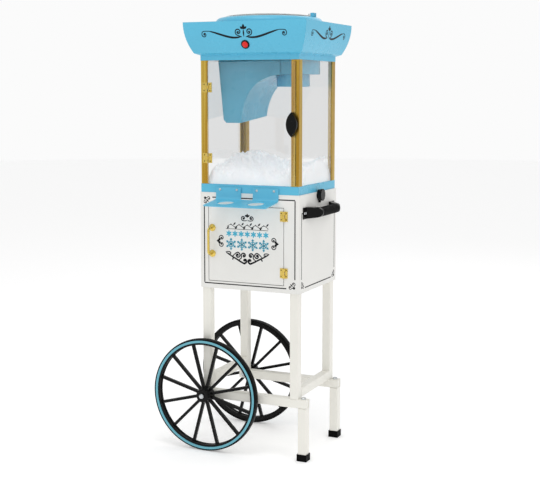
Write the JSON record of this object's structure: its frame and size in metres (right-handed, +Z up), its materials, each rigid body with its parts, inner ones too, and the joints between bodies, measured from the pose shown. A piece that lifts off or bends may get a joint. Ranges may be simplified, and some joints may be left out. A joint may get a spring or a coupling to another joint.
{
  "type": "shaved ice machine",
  "caption": "Shaved ice machine on a wheeled stand: flared canopy with hopper and shaver, glazed ice cabinet with door, storage cabinet, cone shelf and push handle.",
  "frame": {"origin": "on the floor, under the middle of the whole cart's box", "axes": "+Z up, -Y towards the front doors, +X towards the push handle, wheels at -X"},
  "size_m": [0.48, 0.397, 1.219],
  "materials": {
    "cream_paint": "satin powder coat, cream white",
    "white_paint": "satin powder coat, white",
    "aqua_plastic": "glossy light-blue moulding",
    "aqua_paint": "glossy light-blue enamel",
    "aqua_band": "blue-green band",
    "black_plastic": "black moulding",
    "black_rubber": "black rubber",
    "tyre_rubber": "black tread",
    "foam": "black foam sleeve",
    "zinc": "zinc-plated steel",
    "steel": "stainless steel",
    "gold": "gold anodised aluminium",
    "brass": "polished brass",
    "acrylic": "clear acrylic sheet",
    "smoke": "smoky translucent acrylic",
    "ice": "white shaved ice",
    "red_plastic": "red translucent cap"
  },
  "bodies": {
    "cart": {"leg_front_left": "cream_paint", "post_front_left": "gold", "leg_front_right": "cream_paint", "post_front_right": "gold", "rail_front": "cream_paint", "leg_rear_left": "cream_paint", "post_rear_left": "gold", "leg_rear_right": "cream_paint", "post_rear_right": "gold", "rail_rear": "cream_paint", "cross_bars": "cream_paint", "foot_tubes": "cream_paint", "foot_caps": "black_rubber", "stand_bolts": "zinc", "cabinet_body": "white_paint", "cabinet_floor": "white_paint", "cabinet_back": "white_paint", "door_catch": "black_plastic", "hinge_frame_leaves": "brass", "hinge_pins": "brass", "handle_brackets": "black_plastic", "handle_bar": "black_plastic", "handle_grip": "foam", "ice_tray": "aqua_plastic", "drain_tap": "black_plastic", "pane_left": "acrylic", "pane_right": "acrylic", "pane_back": "acrylic", "shaved_ice": "ice", "canopy": "aqua_plastic", "canopy_ceiling": "steel", "top_deck": "aqua_plastic", "lid_hinge_block": "aqua_plastic", "cord_gland": "black_plastic", "hopper": "steel", "chute": "aqua_plastic", "cutter_housing": "aqua_plastic", "motor_cover": "aqua_plastic", "motor": "steel", "switch_body": "black_plastic", "cone_shelf": "aqua_paint", "panel_screws": "zinc"},
    "wheel_front": {"wheel_front_tyre": "tyre_rubber", "wheel_front_ring": "aqua_band", "wheel_front_spider": "black_plastic"},
    "wheel_rear": {"wheel_rear_tyre": "tyre_rubber", "wheel_rear_ring": "aqua_band", "wheel_rear_spider": "black_plastic"},
    "glass_door": {"glass_door_pane": "acrylic", "glass_hinge_leaves": "brass", "glass_door_knob": "black_plastic"},
    "storage_door": {"storage_door_panel": "white_paint", "storage_door_pull": "brass", "storage_hinge_leaves": "brass"},
    "hopper_lid": {"lid": "smoke"},
    "button": {"start_button": "red_plastic"},
    "tap_knob": {"drain_knob": "black_plastic"},
    "cutter": {"motor_shaft": "steel", "cutter_disc": "steel", "cutter_blades": "steel"}
  },
  "joints": [
    {"name": "wheel_front_spin", "type": "hinge", "parent": "cart", "child": "wheel_front", "pos_m": [-0.08, -0.127, 0.16], "axis": [0, 1, 0], "continuous": true},
    {"name": "wheel_rear_spin", "type": "hinge", "parent": "cart", "child": "wheel_rear", "pos_m": [-0.08, 0.17, 0.16], "axis": [0, 1, 0], "continuous": true},
    {"name": "glass_door_swing", "type": "hinge", "parent": "cart", "child": "glass_door", "pos_m": [-0.076, -0.1171, 0.9205], "axis": [0, 0, -1], "range_deg": [0, 110]},
    {"name": "storage_door_swing", "type": "hinge", "parent": "cart", "child": "storage_door", "pos_m": [0.1543, -0.1168, 0.595], "axis": [0, 0, 1], "range_deg": [0, 110]},
    {"name": "lid_swing", "type": "hinge", "parent": "cart", "child": "hopper_lid", "pos_m": [0.182, 0.0215, 1.214], "axis": [0, 1, 0], "range_deg": [0, 105]},
    {"name": "start_button_press", "type": "slide", "parent": "cart", "child": "button", "axis": [0, 0.9302, 0.367], "range_m": [0, 0.0025], "stiffness_N_per_m": 300, "springref_m": -0.002},
    {"name": "drain_knob_turn", "type": "hinge", "parent": "cart", "child": "tap_knob", "pos_m": [0.2105, 0.0215, 0.722], "axis": [1, 0, 0], "range_deg": [0, 90]},
    {"name": "cutter_spin", "type": "hinge", "parent": "cart", "child": "cutter", "pos_m": [0.114, 0.0415, 1.08], "axis": [0, 0, 1], "continuous": true}
  ]
}
